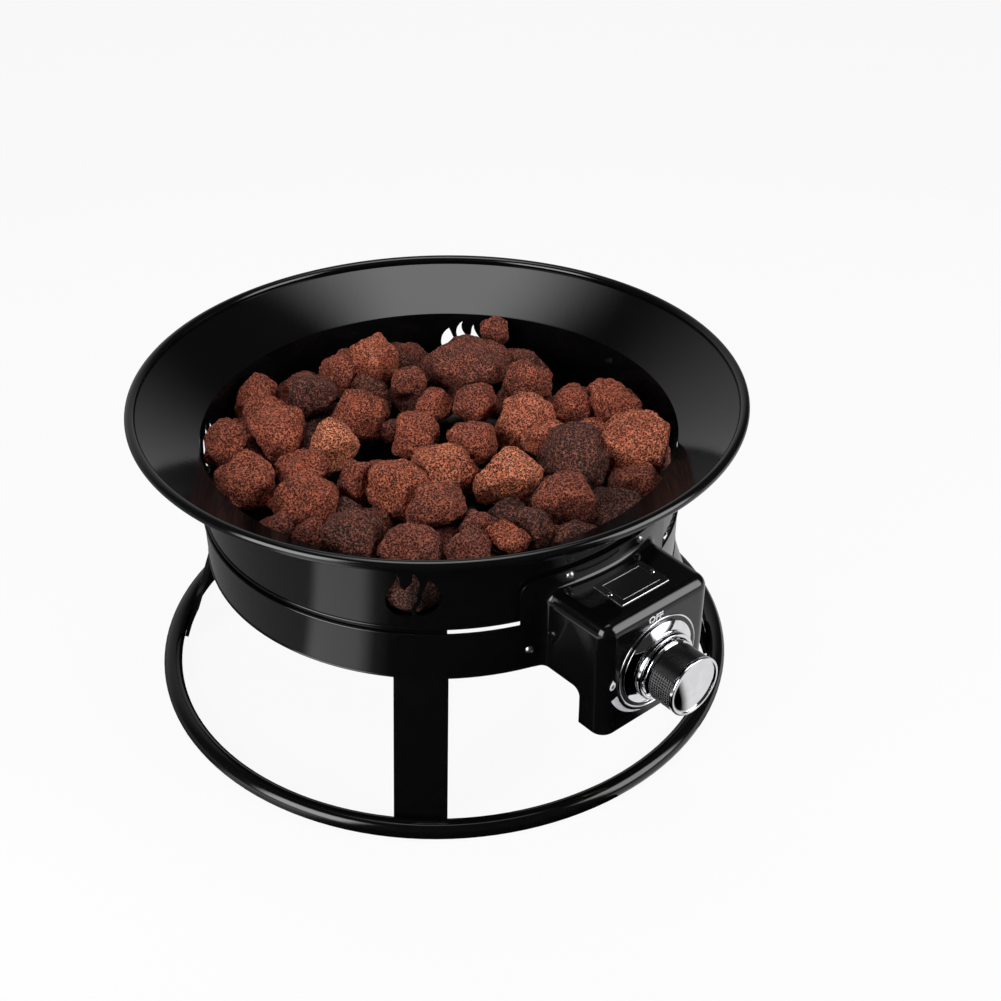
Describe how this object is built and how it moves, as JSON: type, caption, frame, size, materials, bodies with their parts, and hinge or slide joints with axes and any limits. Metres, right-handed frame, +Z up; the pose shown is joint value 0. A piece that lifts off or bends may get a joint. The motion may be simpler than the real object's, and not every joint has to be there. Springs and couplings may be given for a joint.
{
  "type": "tabletop gas fire pit",
  "caption": "Round tabletop gas fire pit: flared bowl of lava rock on a ring stand with legs, flame cut-outs, and a front valve housing with a push-and-turn knob.",
  "frame": {"origin": "the middle of the footprint's box, at the level of the table; the bowl's axis stands 22.4 mm behind it, at x = 0, y = +0.0224", "axes": "+Z up, the control housing and its knob face -Y, +X to the right of someone who faces the part's back from the front, so to the right hand in a view along +Y"},
  "size_m": [0.4863, 0.5312, 0.2553],
  "materials": {
    "black_enamel": "gloss black enamel",
    "plain_steel": "plain steel",
    "valve_brass": "machined brass",
    "bright_chrome": "polished chrome plate",
    "black_plastic": "satin black, finely knurled",
    "printed_marks": "printed light grey",
    "dark_lava": "porous dark red-brown lava rock",
    "red_lava": "porous red-brown lava rock"
  },
  "bodies": {
    "stand_and_bowl": {"base_ring": "black_enamel", "leg_1": "black_enamel", "leg_2": "black_enamel", "leg_3": "black_enamel", "leg_4": "black_enamel", "stand_band": "black_enamel", "joining_band": "black_enamel", "bowl_drum": "black_enamel", "flared_rim": "black_enamel", "bowl_floor": "black_enamel", "burner_ring": "plain_steel", "burner_spokes": "plain_steel", "burner_hub": "plain_steel", "burner_feet": "plain_steel", "mixing_tube": "plain_steel", "gas_orifice": "valve_brass", "valve_body": "valve_brass", "valve_nut": "plain_steel", "gas_inlet": "valve_brass", "valve_spring": "plain_steel", "control_housing": "black_enamel", "housing_screws": "plain_steel", "housing_nuts": "plain_steel", "nameplate": "black_enamel", "nameplate_rivets": "bright_chrome", "dial_ring": "black_enamel", "dial_markings": "printed_marks", "knob_bezel": "bright_chrome", "rocks_lower_outer": "dark_lava", "rocks_lower_inner": "dark_lava", "rocks_back": "red_lava", "rocks_left": "red_lava", "rocks_front": "red_lava", "rocks_middle": "dark_lava", "rocks_right": "red_lava"},
    "plunger": {"spring_cup": "plain_steel"},
    "knob": {"valve_stem": "valve_brass", "knob_collar": "bright_chrome", "knob_grip": "black_plastic", "knob_cap": "bright_chrome"},
    "shutter": {"air_shutter": "plain_steel"}
  },
  "joints": [
    {"name": "knob_push", "type": "slide", "parent": "stand_and_bowl", "child": "plunger", "axis": [0, 1, 0], "range_m": [0, 0.003], "stiffness_N_per_m": 2000, "springref_m": -0.002, "deforming": ["valve_spring"]},
    {"name": "knob_turn", "type": "hinge", "parent": "plunger", "child": "knob", "pos_m": [0, -0.2376, 0.1325], "axis": [0, -1, 0], "range_deg": [0, 170]},
    {"name": "air_shutter_turn", "type": "hinge", "parent": "stand_and_bowl", "child": "shutter", "pos_m": [0, -0.1776, 0.1325], "axis": [0, 1, 0], "range_deg": [-40, 40]}
  ]
}
